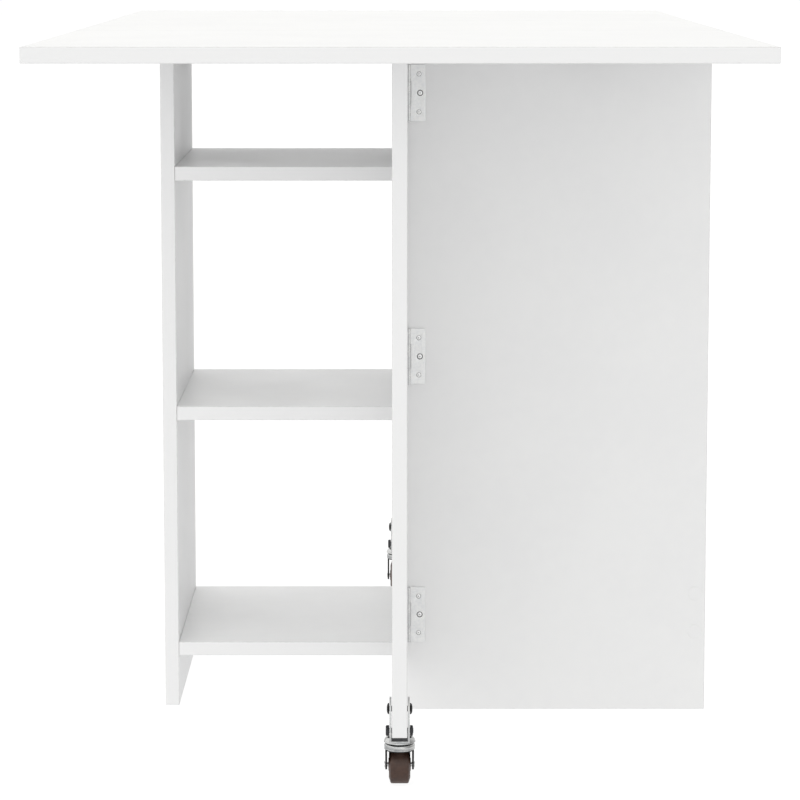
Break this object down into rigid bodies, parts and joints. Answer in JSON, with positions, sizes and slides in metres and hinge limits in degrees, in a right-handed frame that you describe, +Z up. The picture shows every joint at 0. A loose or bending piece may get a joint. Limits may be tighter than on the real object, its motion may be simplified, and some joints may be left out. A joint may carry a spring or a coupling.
{
  "type": "sewing table",
  "caption": "Gateleg sewing table: a shelved cabinet under a centre section, with two drop leaves each held up by a hinged gate on a swivel caster.",
  "frame": {"origin": "on the floor, under the middle of the open top", "axes": "+Z up; Y along the table through both gates, with the front gate at -Y; +X towards the closed bay, -X towards the open shelves"},
  "size_m": [0.726, 1.4, 0.783],
  "materials": {
    "white_melamine": "white melamine-faced chipboard with matching edge band, satin",
    "plated_steel": "bright zinc-plated pressed steel",
    "black_steel": "black oxide, satin",
    "dark_grey_steel": "dark grey phosphated steel",
    "brown_rubber": "dark brown moulded rubber",
    "dark_rubber": "dark grey rubber sheet",
    "white_plastic": "white moulded plastic"
  },
  "bodies": {
    "cabinet": {"left_side_panel": "white_melamine", "centre_divider": "white_melamine", "front_fixed_panel": "white_melamine", "rear_fixed_panel": "white_melamine", "left_shelf_lower": "white_melamine", "left_shelf_middle": "white_melamine", "left_shelf_upper": "white_melamine", "right_shelf_lower": "white_melamine", "right_shelf_middle": "white_melamine", "right_shelf_upper": "white_melamine", "right_end_rail": "white_melamine", "top_centre_section": "white_melamine", "front_gate_hinge_lower_fixed_half": "plated_steel", "front_gate_hinge_lower_pin": "plated_steel", "front_gate_hinge_middle_fixed_half": "plated_steel", "front_gate_hinge_middle_pin": "plated_steel", "front_gate_hinge_upper_fixed_half": "plated_steel", "front_gate_hinge_upper_pin": "plated_steel", "front_leaf_hinge_left_fixed_half": "plated_steel", "front_leaf_hinge_right_fixed_half": "plated_steel", "rear_gate_hinge_lower_fixed_half": "plated_steel", "rear_gate_hinge_lower_pin": "plated_steel", "rear_gate_hinge_middle_fixed_half": "plated_steel", "rear_gate_hinge_middle_pin": "plated_steel", "rear_gate_hinge_upper_fixed_half": "plated_steel", "rear_gate_hinge_upper_pin": "plated_steel", "rear_leaf_hinge_left_fixed_half": "plated_steel", "rear_leaf_hinge_right_fixed_half": "plated_steel"},
    "front_gate": {"front_gate": "white_melamine", "front_gate_glide": "white_plastic", "front_gate_hinge_lower_moving_half": "plated_steel", "front_gate_hinge_middle_moving_half": "plated_steel", "front_gate_hinge_upper_moving_half": "plated_steel", "front_caster_bracket": "plated_steel", "front_caster_pad": "dark_rubber", "front_caster_upper_bolt": "black_steel", "front_caster_lower_bolt": "dark_grey_steel"},
    "front_caster": {"front_caster_housing": "plated_steel", "front_caster_fork": "black_steel", "front_caster_axle": "plated_steel"},
    "front_wheel": {"front_caster_wheel": "brown_rubber"},
    "front_leaf": {"front_leaf": "white_melamine", "front_leaf_hinge_left_moving_half": "plated_steel", "front_leaf_hinge_right_moving_half": "plated_steel"},
    "rear_gate": {"rear_gate": "white_melamine", "rear_gate_glide": "white_plastic", "rear_gate_hinge_lower_moving_half": "plated_steel", "rear_gate_hinge_middle_moving_half": "plated_steel", "rear_gate_hinge_upper_moving_half": "plated_steel", "rear_caster_bracket": "plated_steel", "rear_caster_pad": "dark_rubber", "rear_caster_upper_bolt": "black_steel", "rear_caster_lower_bolt": "dark_grey_steel"},
    "rear_caster": {"rear_caster_housing": "plated_steel", "rear_caster_fork": "black_steel", "rear_caster_axle": "plated_steel"},
    "rear_wheel": {"rear_caster_wheel": "brown_rubber"},
    "rear_leaf": {"rear_leaf": "white_melamine", "rear_leaf_hinge_left_moving_half": "plated_steel", "rear_leaf_hinge_right_moving_half": "plated_steel"}
  },
  "joints": [
    {"name": "front_gate_swing", "type": "hinge", "parent": "cabinet", "child": "front_gate", "pos_m": [0.011, -0.1728, 0.412], "axis": [0, 0, -1], "range_deg": [-80, 90]},
    {"name": "front_caster_swivel", "type": "hinge", "parent": "front_gate", "child": "front_caster", "pos_m": [0, -0.4933, 0.045], "axis": [0, 0, 1], "continuous": true},
    {"name": "front_wheel_roll", "type": "hinge", "parent": "front_caster", "child": "front_wheel", "pos_m": [0, -0.478, 0.02], "axis": [1, 0, 0], "continuous": true},
    {"name": "front_leaf_lift", "type": "hinge", "parent": "cabinet", "child": "front_leaf", "pos_m": [0, -0.19, 0.764], "axis": [-1, 0, 0], "range_deg": [0, 4]},
    {"name": "rear_gate_swing", "type": "hinge", "parent": "cabinet", "child": "rear_gate", "pos_m": [0.011, 0.1728, 0.412], "axis": [0, 0, 1], "range_deg": [-80, 90]},
    {"name": "rear_caster_swivel", "type": "hinge", "parent": "rear_gate", "child": "rear_caster", "pos_m": [0, 0.4933, 0.045], "axis": [0, 0, 1], "continuous": true},
    {"name": "rear_wheel_roll", "type": "hinge", "parent": "rear_caster", "child": "rear_wheel", "pos_m": [0, 0.478, 0.02], "axis": [1, 0, 0], "continuous": true},
    {"name": "rear_leaf_lift", "type": "hinge", "parent": "cabinet", "child": "rear_leaf", "pos_m": [0, 0.19, 0.764], "axis": [1, 0, 0], "range_deg": [0, 4]}
  ]
}
